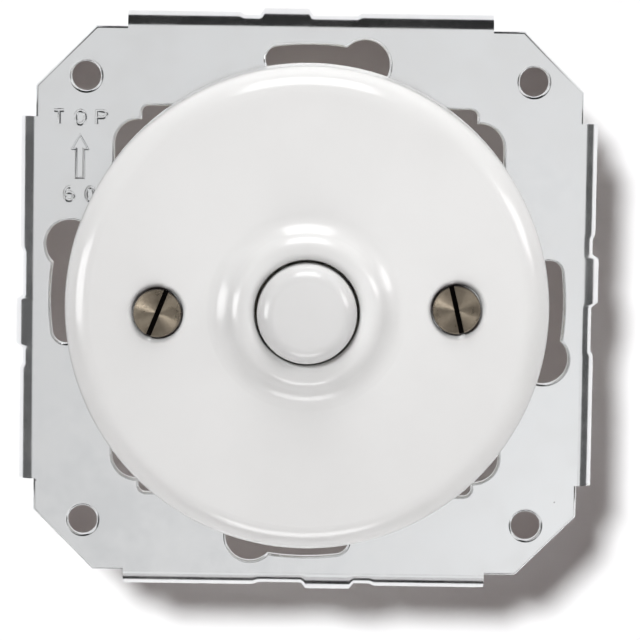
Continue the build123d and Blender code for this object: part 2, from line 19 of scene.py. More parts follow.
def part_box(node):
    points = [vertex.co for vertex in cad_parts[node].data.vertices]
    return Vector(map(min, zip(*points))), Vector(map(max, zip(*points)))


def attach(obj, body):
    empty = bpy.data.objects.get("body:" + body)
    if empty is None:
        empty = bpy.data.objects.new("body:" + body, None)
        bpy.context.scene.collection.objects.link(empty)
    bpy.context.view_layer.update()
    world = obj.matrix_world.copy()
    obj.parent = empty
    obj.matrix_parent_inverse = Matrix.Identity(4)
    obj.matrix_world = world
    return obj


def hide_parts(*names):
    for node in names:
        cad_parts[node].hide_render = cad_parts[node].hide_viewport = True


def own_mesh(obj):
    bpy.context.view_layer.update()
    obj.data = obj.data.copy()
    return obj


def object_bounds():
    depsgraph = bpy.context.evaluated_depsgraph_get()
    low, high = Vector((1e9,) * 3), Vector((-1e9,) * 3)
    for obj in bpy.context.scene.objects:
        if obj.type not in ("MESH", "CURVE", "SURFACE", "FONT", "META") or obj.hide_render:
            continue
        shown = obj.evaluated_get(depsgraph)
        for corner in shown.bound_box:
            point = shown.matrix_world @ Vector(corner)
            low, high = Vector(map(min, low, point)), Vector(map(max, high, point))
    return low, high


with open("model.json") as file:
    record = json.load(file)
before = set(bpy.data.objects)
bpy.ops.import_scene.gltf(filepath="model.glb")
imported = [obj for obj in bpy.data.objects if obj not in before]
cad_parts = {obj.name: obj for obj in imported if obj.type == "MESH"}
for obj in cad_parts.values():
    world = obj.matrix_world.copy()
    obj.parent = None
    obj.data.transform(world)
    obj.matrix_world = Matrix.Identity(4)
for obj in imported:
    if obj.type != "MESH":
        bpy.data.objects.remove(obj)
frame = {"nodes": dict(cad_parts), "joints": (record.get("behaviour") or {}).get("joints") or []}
CAD_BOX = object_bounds()
LOG = logging.getLogger("switch")
MM = 0.001
MICRON = 1e-6
WHITE = (1.0, 1.0, 1.0, 1.0)
UPRIGHT = Matrix.Rotation(math.pi / 2, 4, "X")
AREA_POWER = 4.0  # watts of an area lamp for each square metre and unit of radiance
OCTAGON_CORNERS = 8
ARC_STEP = 15.0  # degrees from point to point of an arc
LEAST_ARC_STEPS = 6

Colour = tuple[float, float, float]
Point = tuple[float, float]
Socket = bpy.types.NodeSocket


def deselect() -> None:
    """Goes back to object mode and clears the selection."""
    if bpy.context.object and bpy.context.object.mode != "OBJECT":
        bpy.ops.object.mode_set(mode="OBJECT")
    bpy.ops.object.select_all(action="DESELECT")


def activate(piece: bpy.types.Object) -> None:
    """Makes a piece the only selected object and the active one.

    Args:
        piece: The piece.
    """
    deselect()
    piece.select_set(True)
    bpy.context.view_layer.objects.active = piece


@contextlib.contextmanager
def whole_mesh() -> Iterator[None]:
    """Opens the active mesh for editing with all of it selected, and closes it at the end of the block."""
    bpy.ops.object.mode_set(mode="EDIT")
    bpy.ops.mesh.select_all(action="SELECT")
    yield
    bpy.ops.object.mode_set(mode="OBJECT")


def add(name: str, data: bpy.types.ID) -> bpy.types.Object:
    """Adds an object to the scene.

    Args:
        name: Its name.
        data: Its mesh, curve, lamp or camera.

    Returns:
        The object.
    """
    made = bpy.data.objects.new(name, data)
    bpy.context.scene.collection.objects.link(made)
    return made


def light_only(lamp: bpy.types.Object, names: Sequence[str]) -> None:
    """Limits a lamp to some pieces.

    Args:
        lamp: The lamp.
        names: Names of the pieces.
    """
    receivers = bpy.data.collections.new(f"{lamp.name}_receivers")
    for name in names:
        receivers.objects.link(frame["nodes"].get(name) or bpy.data.objects[name])
    lamp.light_linking.receiver_collection = receivers


def hide(piece: bpy.types.Object, *rays: str) -> None:
    """Hides a lamp or a piece of the set from some kinds of rays.

    Args:
        piece: The lamp or piece.
        rays: Blender's names of the kinds of rays.
    """
    for ray in rays:
        setattr(piece, f"visible_{ray}", False)


class Sheet:
    """A node tree under construction, for a material, a world or a group."""

    def __init__(self, tree: bpy.types.NodeTree) -> None:
        """Empties the tree.

        Args:
            tree: The node tree to fill.
        """
        self.tree = tree
        tree.nodes.clear()

    def node(self, kind: str, *inputs: object, **settings: object) -> bpy.types.Node:
        """Adds a node.

        Args:
            kind: The node's class name without its ShaderNode prefix.
            inputs: Values or sockets for its inputs in order, with None to leave one as it is.
            settings: Properties of the node.

        Returns:
            The new node.
        """
        made = self.tree.nodes.new(f"ShaderNode{kind}")
        for name, value in settings.items():
            setattr(made, name, value)
        for socket, value in zip(made.inputs, inputs):
            self.feed(socket, value)
        return made

    def feed(self, socket: Socket, value: object) -> None:
        """Links a socket to an input, or sets the input's value.

        Args:
            socket: The input.
            value: A socket to link from, a value to set, or None to leave the input as it is.
        """
        if isinstance(value, Socket):
            self.tree.links.new(value, socket)
        elif value is not None:
            socket.default_value = value

    def math(self, operation: str, *inputs: object) -> Socket:
        """Adds a Math node and gives its output."""
        return self.node("Math", *inputs, operation=operation).outputs[0]

    def vector(self, operation: str, *inputs: object) -> bpy.types.Node:
        """Adds a Vector Math node."""
        return self.node("VectorMath", *inputs, operation=operation)

    def ramp(self, value: Socket, low: float, high: float, start: float = 0.0, end: float = 1.0) -> Socket:
        """Maps a range of a value smoothly to another range.

        Args:
            value: The value to map.
            low: Where the change begins.
            high: Where it ends.
            start: What comes out up to the beginning.
            end: What comes out past the end.

        Returns:
            The mapped value.
        """
        made = self.node("MapRange", value, low, high, start, end, interpolation_type="SMOOTHSTEP")
        return made.outputs["Result"]

    def mix(self, share: object, first: object, second: object) -> Socket:
        """Mixes two colours.

        Args:
            share: How much of the second colour shows.
            first: Colour or socket.
            second: Colour or socket.

        Returns:
            The mixed colour.
        """
        made = self.node("Mix", data_type="RGBA")
        pairs = zip(("Factor_Float", "A_Color", "B_Color"), (share, first, second))
        sockets = {socket.identifier: socket for socket in made.inputs}
        for identifier, value in pairs:
            self.feed(sockets[identifier], (*value, 1.0) if isinstance(value, tuple) else value)
        return next(out for out in made.outputs if out.identifier == "Result_Color")

    def show(self, output: str, shader: Socket) -> None:
        """Adds an output node of some kind and links a shader to it."""
        self.feed(self.node(output).inputs["Surface"], shader)


def new_material(name: str) -> tuple[bpy.types.Material, Sheet]:
    """Starts a material.

    Args:
        name: Its name.

    Returns:
        The material, and the sheet for its nodes.
    """
    made = bpy.data.materials.new(name)
    made.use_nodes = True
    return made, Sheet(made.node_tree)


class Effect(Enum):
    """Surface effects that several finishes share."""

    MOTTLE = "mottle"
    GRAIN = "grain"
    SPECKS = "specks"
    RINGS = "turned_rings"
    ROLLED = "rolled_sheet"


class EffectShelf:
    """Builds each shared effect once, as a node group.

    Attributes:
        FINE_SCALE: How many times finer the small clouds are than the large ones.
        FINE_SHARE: How much the small clouds count.
        CLOUD_EDGES: Values of the noise between which the clouds pass from dark to light.
        SWAY_SCALE: Bends per metre of the tool marks.
        SWAY: How far a tool mark bends, as an angle of its wave.
        STREAK: How fast the streaks of rolled sheet change along each axis.
    """

    FINE_SCALE = 5.3
    FINE_SHARE = 0.35
    CLOUD_EDGES = (0.32, 0.68)
    SWAY_SCALE = 900.0
    SWAY = 3.0
    STREAK = (1.0, 1.0, 0.04)

    def __init__(self) -> None:
        """Starts with an empty shelf."""
        self.groups: dict[Effect, bpy.types.NodeTree] = {}

    def group(self, effect: Effect) -> bpy.types.NodeTree:
        """Gives an effect's node group, and builds it the first time.

        Args:
            effect: The effect.

        Returns:
            The node group.
        """
        if effect not in self.groups:
            build = {
                Effect.MOTTLE: self._mottle,
                Effect.GRAIN: self._grain,
                Effect.SPECKS: self._specks,
                Effect.RINGS: self._rings,
                Effect.ROLLED: self._rolled,
            }[effect]
            self.groups[effect] = bpy.data.node_groups.new(effect.value, "ShaderNodeTree")
            build(self.groups[effect])
        return self.groups[effect]

    @staticmethod
    def _open(
        tree: bpy.types.NodeTree, numbers: Sequence[str], output: str,
    ) -> tuple[Sheet, dict[str, Socket]]:
        """Gives a group a vector input, number inputs and one number output.

        Args:
            tree: The group.
            numbers: Names of the number inputs.
            output: Name of the output.

        Returns:
            The sheet to build on, and the group's inputs by name with the output node's socket as "out".
        """
        sheet = Sheet(tree)
        tree.interface.new_socket("Vector", in_out="INPUT", socket_type="NodeSocketVector")
        for name in numbers:
            tree.interface.new_socket(name, in_out="INPUT", socket_type="NodeSocketFloat")
        tree.interface.new_socket(output, in_out="OUTPUT", socket_type="NodeSocketFloat")
        inputs = tree.nodes.new("NodeGroupInput").outputs
        sockets = {socket.name: socket for socket in inputs if socket.name}
        sockets["out"] = tree.nodes.new("NodeGroupOutput").inputs[0]
        return sheet, sockets

    @staticmethod
    def _noise(sheet: Sheet, place: Socket, scale: object, detail: float, roughness: float = 0.5) -> Socket:
        """Adds a noise texture and gives its value."""
        return sheet.node("TexNoise", place, None, scale, detail, roughness).outputs[0]

    def _mottle(self, tree: bpy.types.NodeTree) -> None:
        """Makes soft clouds of two sizes.

        Args:
            tree: The group.
        """
        sheet, at = self._open(tree, ("Scale",), "Share")
        large = self._noise(sheet, at["Vector"], at["Scale"], detail=3.0, roughness=0.55)
        finer = sheet.math("MULTIPLY", at["Scale"], self.FINE_SCALE)
        small = self._noise(sheet, at["Vector"], finer, detail=2.0)
        most = sheet.math("MULTIPLY", large, 1.0 - self.FINE_SHARE)
        both = sheet.math("MULTIPLY_ADD", small, self.FINE_SHARE, most)
        sheet.feed(at["out"], sheet.ramp(both, *self.CLOUD_EDGES))

    def _grain(self, tree: bpy.types.NodeTree) -> None:
        """Makes a fine irregular relief.

        Args:
            tree: The group.
        """
        sheet, at = self._open(tree, ("Scale",), "Height")
        sheet.feed(at["out"], self._noise(sheet, at["Vector"], at["Scale"], detail=4.0, roughness=0.6))

    def _specks(self, tree: bpy.types.NodeTree) -> None:
        """Makes sparse small round spots.

        Args:
            tree: The group.
        """
        sheet, at = self._open(tree, ("Scale", "Size", "Density"), "Mask")
        cells = sheet.node("TexVoronoi", at["Vector"], None, at["Scale"], feature="F1")
        spot = sheet.math("LESS_THAN", cells.outputs["Distance"], at["Size"])
        chance = sheet.node("SeparateColor", cells.outputs["Color"]).outputs[0]
        sheet.feed(at["out"], sheet.math("MULTIPLY", spot, sheet.math("LESS_THAN", chance, at["Density"])))

    def _rings(self, tree: bpy.types.NodeTree) -> None:
        """Makes the tool marks that turning leaves, about the Y axis of the vector's own frame.

        Args:
            tree: The group.
        """
        sheet, at = self._open(tree, ("Pitch",), "Height")
        flat = sheet.vector("MULTIPLY", at["Vector"], (1.0, 0.0, 1.0)).outputs[0]
        radius = sheet.vector("LENGTH", flat).outputs["Value"]
        turn = sheet.math("MULTIPLY", sheet.math("DIVIDE", radius, at["Pitch"]), math.tau)
        sway = self._noise(sheet, at["Vector"], self.SWAY_SCALE, detail=2.0)
        sheet.feed(at["out"], sheet.math("SINE", sheet.math("MULTIPLY_ADD", sway, self.SWAY, turn)))

    def _rolled(self, tree: bpy.types.NodeTree) -> None:
        """Makes the faint streaks that rolling leaves along a sheet, upright on the frame.

        Args:
            tree: The group.
        """
        sheet, at = self._open(tree, ("Scale",), "Height")
        drawn = sheet.vector("MULTIPLY", at["Vector"], self.STREAK).outputs[0]
        sheet.feed(at["out"], self._noise(sheet, drawn, at["Scale"], detail=3.0, roughness=0.6))


EFFECTS = EffectShelf()


@dataclass(frozen=True)
class Finish:
    """A finish with cloudy colour, varying gloss and a fine relief.

    Attributes:
        name: Name of the material.
        light: Lighter of its two colours.
        dark: Darker of its two colours.
        gloss: Lowest and highest roughness.
        metallic: 1 for a bare metal.
        mottle: Clouds per metre.
        grain: Grains of the relief per metre.
        relief: Depth of the relief.
        speck: Colour of the sparse specks.
        speck_scale: Speck cells per metre.
        speck_size: Radius of a speck as a share of its cell.
        speck_density: Share of the cells that hold a speck.
        ior: Index of refraction of the surface.
    """

    name: str
    light: Colour
    dark: Colour
    gloss: tuple[float, float]
    metallic: float = 0.0
    mottle: float = 60.0
    grain: float = 2500.0
    relief: float = 1.0 * MICRON
    speck: Colour = (0.3, 0.29, 0.28)
    speck_scale: float = 160.0
    speck_size: float = 0.05
    speck_density: float = 0.04
    ior: float = 1.5

    def effect(self, sheet: Sheet, effect: Effect, place: Socket, *values: float) -> Socket:
        """Places a shared effect in the material.

        Args:
            sheet: The material's nodes.
            effect: The effect.
            place: Coordinates that the effect follows.
            values: The effect's other inputs.

        Returns:
            The effect's output.
        """
        made = sheet.node("Group", node_tree=EFFECTS.group(effect))
        for socket, value in zip(made.inputs, (place, *values)):
            sheet.feed(socket, value)
        return made.outputs[0]

    def painted_shade(self, sheet: Sheet, place: Socket, colour: Socket) -> Socket:
        """Gives the colour with painted shade on it, here none."""
        return colour

    def height(self, sheet: Sheet, place: Socket) -> Socket:
        """Gives the relief of the surface, here its grain."""
        return self.effect(sheet, Effect.GRAIN, place, self.grain)

    @functools.cache
    def material(self) -> bpy.types.Material:
        """Builds the material once, for all pieces of the finish.

        Returns:
            The finished material.
        """
        made, sheet = new_material(self.name)
        place = sheet.node("TexCoord").outputs["Object"]
        clouds = self.effect(sheet, Effect.MOTTLE, place, self.mottle)
        spots = (self.speck_scale, self.speck_size, self.speck_density)
        specks = self.effect(sheet, Effect.SPECKS, place, *spots)
        shader = sheet.node("BsdfPrincipled")
        colour = sheet.mix(specks, sheet.mix(clouds, self.dark, self.light), self.speck)
        sheet.feed(shader.inputs["Base Color"], self.painted_shade(sheet, place, colour))
        sheet.feed(shader.inputs["Roughness"], sheet.ramp(clouds, 0.0, 1.0, *self.gloss))
        shader.inputs["Metallic"].default_value = self.metallic
        shader.inputs["IOR"].default_value = self.ior
        bump = sheet.node("Bump", 1.0, self.relief)
        sheet.feed(bump.inputs["Height"], self.height(sheet, place))
        sheet.feed(shader.inputs["Normal"], bump.outputs[0])
        sheet.show("OutputMaterial", shader.outputs[0])
        return made


@dataclass(frozen=True)
class RolledFinish(Finish):
    """A finish of rolled sheet, whose relief has upright streaks.

    Attributes:
        streaks: Streaks per metre across the sheet.
        streak_share: How deep the streaks are, where the grain is 1.
    """

    streaks: float = 700.0
    streak_share: float = 0.6

    def height(self, sheet: Sheet, place: Socket) -> Socket:
        """Gives the grain with the streaks over it."""
        streaks = self.effect(sheet, Effect.ROLLED, place, self.streaks)
        return sheet.math("MULTIPLY_ADD", streaks, self.streak_share, super().height(sheet, place))


@dataclass(frozen=True)
class TurnedFinish(Finish):
    """A finish of turned metal, with rings about each of a row of like pieces.

    Attributes:
        pitch: Distance from ring to ring.
        place: Distance of the ring centres on both sides of the middle, along X.
        turn: Degrees that the row is turned about Y.
    """

    pitch: float = 0.08 * MM
    place: float = 0.0
    turn: float = 0.0

    def height(self, sheet: Sheet, place: Socket) -> Socket:
        """Gives rings about the nearest of the two centres.

        Args:
            sheet: The material's nodes.
            place: Coordinates that the rings follow.

        Returns:
            The height of the rings.
        """
        row = sheet.node("Mapping", place, None, (0.0, math.radians(self.turn), 0.0)).outputs[0]
        folded = sheet.vector("ABSOLUTE", row).outputs[0]
        centred = sheet.vector("SUBTRACT", folded, (self.place, 0.0, 0.0)).outputs[0]
        return self.effect(sheet, Effect.RINGS, centred, self.pitch)


@dataclass(frozen=True)
class SlottedFinish(TurnedFinish):
    """A finish of turned screws with painted shade in the slot and on the flank of each head.

    Attributes:
        node: The screws' CAD piece, whose front is the top of the heads.
        slot_shade: Colour of the painted shade.
        shade_from: Depth below the top of the head from which the painted shade begins.
        shade_full: Depth from which it is all painted shade.
    """

    node: str = "cover_screws"
    # Painted shade: the metal goes dark with depth below the top of the head, into the slot and down the
    # flank.
    slot_shade: Colour = (0.012, 0.01, 0.009)
    shade_from: float = 0.12 * MM
    shade_full: float = 0.5 * MM

    def painted_shade(self, sheet: Sheet, place: Socket, colour: Socket) -> Socket:
        """Paints shade on the metal, darker with depth below the top of the head.

        Args:
            sheet: The material's nodes.
            place: Coordinates of the surface.
            colour: Colour of the metal without the painted shade.

        Returns:
            The colour with the painted shade.
        """
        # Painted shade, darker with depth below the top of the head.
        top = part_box(self.node)[0].y
        depth = sheet.math("SUBTRACT", sheet.node("SeparateXYZ", place).outputs["Y"], top)
        return sheet.mix(sheet.ramp(depth, self.shade_from, self.shade_full), colour, self.slot_shade)


PORCELAIN = Finish(
    "glazed_porcelain", light=(0.733, 0.737, 0.729), dark=(0.713, 0.717, 0.709), gloss=(0.15, 0.2),
    mottle=35.0, grain=420.0, relief=1.6 * MICRON, speck=(0.5, 0.48, 0.46), speck_scale=230.0,
    speck_density=0.012,
)
BUTTON_GLAZE = replace(
    PORCELAIN, name="button_glaze", light=(0.663, 0.667, 0.662), dark=(0.646, 0.65, 0.645),
)
STEEL = RolledFinish(
    "galvanised_steel", light=(0.88, 0.887, 0.894), dark=(0.805, 0.816, 0.827), gloss=(0.16, 0.24),
    metallic=1.0, mottle=90.0, grain=5200.0, relief=1.2 * MICRON, speck=(0.5, 0.5, 0.5), speck_scale=420.0,
    speck_density=0.03,
)
BRONZE = SlottedFinish(
    "aged_bronze", light=(0.37, 0.315, 0.245), dark=(0.275, 0.23, 0.175), gloss=(0.26, 0.36), metallic=1.0,
    mottle=300.0, relief=8.0 * MICRON, place=17.9 * MM, turn=1.4, speck=(0.12, 0.1, 0.08),
    speck_scale=900.0,
)
BRASS = RolledFinish(
    "bright_brass", light=(0.80, 0.62, 0.32), dark=(0.70, 0.52, 0.25), gloss=(0.18, 0.32), metallic=1.0,
    mottle=240.0, relief=1.5 * MICRON, speck=(0.35, 0.25, 0.12), speck_scale=800.0,
)
ZINC = Finish(
    "zinc_plate", light=(0.74, 0.75, 0.76), dark=(0.62, 0.63, 0.66), gloss=(0.24, 0.36), metallic=1.0,
    mottle=350.0, relief=1.5 * MICRON, speck=(0.3, 0.3, 0.3), speck_scale=900.0,
)
WIRE = RolledFinish(
    "drawn_wire", light=(0.62, 0.62, 0.63), dark=(0.5, 0.5, 0.51), gloss=(0.16, 0.3), metallic=1.0,
    mottle=400.0, relief=1.5 * MICRON, speck=(0.2, 0.2, 0.2), speck_scale=1500.0,
)
SILVER = Finish(
    "contact_silver", light=(0.89, 0.88, 0.86), dark=(0.78, 0.76, 0.73), gloss=(0.2, 0.34), metallic=1.0,
    mottle=500.0, relief=1.0 * MICRON, speck=(0.35, 0.32, 0.28), speck_scale=1200.0,
)
MOULDING = Finish(
    "ivory_moulding", light=(0.71, 0.69, 0.63), dark=(0.66, 0.64, 0.575), gloss=(0.42, 0.56),
    mottle=120.0, grain=3800.0, relief=7.0 * MICRON, speck=(0.42, 0.39, 0.33), speck_scale=700.0,
)
DARK_MOULDING = Finish(
    "dark_moulding", light=(0.06, 0.06, 0.062), dark=(0.04, 0.04, 0.042), gloss=(0.38, 0.52),
    mottle=160.0, grain=4200.0, relief=5.0 * MICRON, speck=(0.12, 0.12, 0.12), speck_scale=900.0,
)


@dataclass
class SubAssembly:
    """Pieces that belong together and keep the shape of the parts.

    Attributes:
        finishes: The finish of each piece, under the name of its CAD piece.
    """

    finishes: dict[str, Finish]

    def build(self) -> None:
        """Dresses every piece."""
        for name, finish in self.finishes.items():
            frame["nodes"][name].material_slots[0].material = finish.material()
            LOG.info("%s: %s has the finish %s", type(self).__name__, name, finish.name)


@dataclass
class PorcelainFront(SubAssembly):
    """Glazed cover and the screws that hold it."""

    finishes: dict[str, Finish] = field(default_factory=lambda: {
        "porcelain_cover": PORCELAIN,
        "cover_screws": BRONZE,
    })


@dataclass
class Housing(SubAssembly):
    """Moulded cup and guide plate behind the frame, with their screws and the pillars of the cover."""

    finishes: dict[str, Finish] = field(default_factory=lambda: {
        "mechanism_base": MOULDING,
        "guide_plate": MOULDING,
        "base_screws": ZINC,
        "cover_pillars": BRASS,
    })


@dataclass
class Plunger(SubAssembly):
    """Stem and carrier that move with the button, and the bridge that closes the circuit."""

    finishes: dict[str, Finish] = field(default_factory=lambda: {
        "button_stem": BRASS,
        "bridge_carrier": DARK_MOULDING,
        "contact_bridge": BRASS,
        "bridge_contact_tips": SILVER,
    })


@dataclass
class Terminals(SubAssembly):
    """Fixed contacts and the blocks and screws that clamp the wires."""

    finishes: dict[str, Finish] = field(default_factory=lambda: {
        "fixed_contact_left": BRASS,
        "fixed_contact_right": BRASS,
        "fixed_contact_tips": SILVER,
        "terminal_block_left": BRASS,
        "terminal_block_right": BRASS,
        "terminal_screws": ZINC,
    })


@dataclass
class StampedMarks:
    """Direction marks struck into the front of the support frame, left of the cover.

    Attributes:
        column: Place of the marks' upright middle line along X.
        word: Letters above the arrow.
        word_level: Height of the middle of the word along Z.
        figures: Figures below the arrow, the circle of the box screws in millimetres.
        figures_level: Height of the middle of the figures.
        letter_height: Height of a letter.
        letter_width: Width of a letter.
        letter_pitch: Distance from letter to letter.
        arrow_tip: Height of the arrow's tip.
        arrow_foot: Height of the arrow's foot.
        head_height: Height of the arrow's head.
        head_width: Width of the arrow's head.
        shaft_width: Width of the arrow's shaft.
        punch_radius: Radius of the rounded edge of the punch.
        punch_steps: Steps in which that edge is rounded.
        depth: How deep the punch goes into the sheet.
        join: Gap up to which the two ends of a stroke are one point.
    """

    column: float = -28.15 * MM
    word: str = "TOP"
    word_level: float = 22.35 * MM
    figures: str = "60"
    figures_level: float = 12.95 * MM
    letter_height: float = 1.65 * MM
    letter_width: float = 1.2 * MM
    letter_pitch: float = 2.6 * MM
    arrow_tip: float = 20.2 * MM
    arrow_foot: float = 14.95 * MM
    head_height: float = 1.75 * MM
    head_width: float = 2.0 * MM
    shaft_width: float = 0.95 * MM
    punch_radius: float = 0.3 * MM
    punch_steps: int = 6
    depth: float = 0.13 * MM
    join: float = 0.03 * MM

    @staticmethod
    def arc(centre: Point, size: Point, start: float, end: float) -> list[Point]:
        """Gives points along part of an ellipse.

        Args:
            centre: Its middle.
            size: Its half width and half height.
            start: Angle of the first point in degrees.
            end: Angle of the last point in degrees.

        Returns:
            The points in order.
        """
        steps = max(LEAST_ARC_STEPS, round(abs(end - start) / ARC_STEP))
        angles = [math.radians(start + (end - start) * step / steps) for step in range(steps + 1)]
        return [(centre[0] + size[0] * math.cos(a), centre[1] + size[1] * math.sin(a)) for a in angles]

    def strokes(self, letter: str) -> list[list[Point]]:
        """Gives the strokes of a letter about its middle, one unit high and one wide.

        Args:
            letter: The letter or figure.

        Returns:
            The points of each stroke.
        """
        bowl = self.arc((0.05, 0.25), (0.45, 0.25), 90, -90)
        hook = self.arc((0.05, 0.0), (0.5, 0.5), 80, 180)
        shapes = {
            "T": [[(-0.5, 0.5), (0.5, 0.5)], [(0.0, 0.5), (0.0, -0.5)]],
            "O": [self.arc((0.0, 0.0), (0.5, 0.5), 0, 360)],
            "P": [[(-0.5, -0.5), (-0.5, 0.5), *bowl, (-0.5, 0.0)]],
            "0": [self.arc((0.0, 0.0), (0.42, 0.5), 0, 360)],
            "6": [hook + self.arc((0.0, -0.2), (0.45, 0.3), 180, -180)],
        }
        return shapes[letter]

    def row(self, text: str, level: float) -> list[list[Point]]:
        """Sets a row of letters about the middle line.

        Args:
            text: The letters.
            level: Height of their middle.

        Returns:
            The strokes in X and Z.
        """
        width, height = self.letter_width, self.letter_height
        placed = []
        for index, letter in enumerate(text):
            middle = self.column + (index - (len(text) - 1) / 2) * self.letter_pitch
            for stroke in self.strokes(letter):
                placed.append([(middle + x * width, level + z * height) for x, z in stroke])
        return placed

    def arrow(self) -> list[list[Point]]:
        """Gives the outline of the arrow.

        Returns:
            Its one closed stroke in X and Z.
        """
        shoulder = self.arrow_tip - self.head_height
        right = [
            (self.head_width / 2, shoulder),
            (self.shaft_width / 2, shoulder),
            (self.shaft_width / 2, self.arrow_foot),
        ]
        left = [(-x, z) for x, z in reversed(right)]
        tip = (0.0, self.arrow_tip)
        return [[(self.column + x, z) for x, z in (tip, *right, *left, tip)]]

    def punch(self, front: float) -> bpy.types.Object:
        """Makes the punch: a round bar along every stroke, with its middle just in front of the sheet.

        Args:
            front: Place of the front of the sheet along Y.

        Returns:
            The punch as a mesh.
        """
        curve = bpy.data.curves.new("marking_punch", "CURVE")
        curve.dimensions = "3D"
        curve.bevel_depth = self.punch_radius
        curve.bevel_resolution = self.punch_steps
        curve.use_fill_caps = True
        level = front - self.punch_radius + self.depth
        letters = self.row(self.word, self.word_level) + self.row(self.figures, self.figures_level)
        for stroke in letters + self.arrow():
            closed = math.dist(stroke[0], stroke[-1]) < self.join
            points = stroke[:-1] if closed else stroke
            spline = curve.splines.new("POLY")
            spline.points.add(len(points) - 1)
            for point, (x, z) in zip(spline.points, points):
                point.co = (x, level, z, 1.0)
            spline.use_cyclic_u = closed
        activate(add("marking_punch", curve))
        bpy.ops.object.convert(target="MESH")
        return bpy.context.object


@dataclass
class RefinedPiece:
    """A copy of a CAD piece with its loose faces joined, which takes the place of that piece.

    Attributes:
        node: The CAD piece.
        name: Name of the copy.
        body: The body that it belongs to.
        slot: The record's material slot for it; not used.
        finish: Its finish.
        crease: Angle between faces from which an edge stays sharp, in degrees.
    """

    node: str
    name: str
    body: str
    slot: str
    finish: Finish
    crease: float = 30.0

    def blank(self) -> bpy.types.Object:
        """Copies the piece and joins its loose faces.

        Returns:
            The copy.
        """
        piece = add(self.name, frame["nodes"][self.node].data.copy())
        activate(piece)
        bpy.ops.mesh.customdata_custom_splitnormals_clear()
        with whole_mesh():
            bpy.ops.mesh.remove_doubles(threshold=MICRON)
        return piece

    def work(self, piece: bpy.types.Object) -> None:
        """Shapes the copy further, here not at all."""

    def smooth(self, piece: bpy.types.Object) -> None:
        """Smooths the rounded faces and keeps the flat ones flat.

        Args:
            piece: The copy.
        """
        activate(piece)
        bpy.ops.object.shade_smooth_by_angle(angle=math.radians(self.crease))
        weighted = piece.modifiers.new("flats", "WEIGHTED_NORMAL")
        weighted.keep_sharp = True
        bpy.ops.object.modifier_apply(modifier=weighted.name)

    def build(self) -> bpy.types.Object:
        """Makes the copy in place of the CAD piece.

        Returns:
            The finished copy.
        """
        piece = self.blank()
        self.work(piece)
        self.smooth(piece)
        piece.material_slots[0].material = self.finish.material()
        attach(piece, self.body)
        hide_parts(self.node)
        LOG.info("%s replaces %s with %d faces", piece.name, self.node, len(piece.data.polygons))
        return piece


@dataclass
class SupportFrame(RefinedPiece):
    """Pressed steel frame with its stamped marks.

    Attributes:
        marks: The marks on its front.
        flatness: Angle up to which neighbouring faces are one flat face, in degrees.
    """

    node: str = "support_frame"
    name: str = "stamped_frame"
    body: str = "switch_body"
    slot: str = "galvanised_steel"
    finish: Finish = STEEL
    marks: StampedMarks = field(default_factory=StampedMarks)
    flatness: float = 0.2

    def work(self, piece: bpy.types.Object) -> None:
        """Strikes the marks into the sheet.

        Args:
            piece: The blank.
        """
        punch = self.marks.punch(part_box(self.node)[0].y)
        activate(piece)
        cut = piece.modifiers.new("marks", "BOOLEAN")
        cut.object = punch
        cut.operation = "DIFFERENCE"
        cut.solver = "EXACT"
        cut.use_self = True
        bpy.ops.object.modifier_apply(modifier=cut.name)
        bpy.data.objects.remove(punch)
        with whole_mesh():
            bpy.ops.mesh.dissolve_limited(angle_limit=math.radians(self.flatness))


@dataclass
class ButtonCap(RefinedPiece):
    """Porcelain button, smooth across the middle of its face."""

    node: str = "button_cap"
    name: str = "glazed_button"
    body: str = "button"
    slot: str = "porcelain"
    finish: Finish = BUTTON_GLAZE


@dataclass
class CoilSpring(RefinedPiece):
    """Coil spring that the button presses together, copied from its CAD piece at its own length.

    Attributes:
        stroke: How much shorter it gets; not used.
        back_seat: Whether it rests on its back end, and not on its front end; not used.
    """

    slot: str = "spring_steel"
    finish: Finish = WIRE
    stroke: float = 0.0
    back_seat: bool = True

    def build(self) -> bpy.types.Object:
        """Makes the spring and gives it a mesh of its own.

        Returns:
            The finished spring.
        """
        piece = super().build()
        front, back = (corner.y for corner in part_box(self.node))
        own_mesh(piece)
        return piece


TRAVEL = {row["name"]: row["range_m"][1] for row in frame["joints"]}
SPRINGS = (
    CoilSpring("return_spring", "return_coil", "switch_body", stroke=TRAVEL["button_press"]),
    CoilSpring(
        "contact_spring", "contact_coil", "button",
        stroke=TRAVEL["button_press"] - TRAVEL["contact_close"], back_seat=False,
    ),
)
GLAZED = ("porcelain_cover", "glazed_button")
SCREWS = ("cover_screws",)
REAR = (
    "mechanism_base", "guide_plate", "base_screws", "terminal_block_left", "terminal_block_right",
    "terminal_screws",
)


@dataclass
class SetPiece:
    """A rectangle on a sphere round the switch, facing its middle.

    Attributes:
        name: Its name.
        polar: Angle from the front axis in degrees.
        clock: Angle round the front axis in degrees, from the right towards the top.
        size: Width and height.
        distance: Distance from the switch.
    """

    name: str
    polar: float
    clock: float
    size: Point
    distance: float = 1.0

    def place(self) -> Vector:
        """Gives the place of its middle.

        Returns:
            The point in the frame of the parts.
        """
        polar, clock = math.radians(self.polar), math.radians(self.clock)
        aside = math.sin(polar)
        return self.distance * Vector((aside * math.cos(clock), -math.cos(polar), aside * math.sin(clock)))

    def facing(self) -> Matrix:
        """Gives the matrix that moves a level rectangle to its place and turns it to the switch."""
        place = self.place()
        return Matrix.Translation(place) @ place.to_track_quat("Z", "Y").to_matrix().to_4x4()


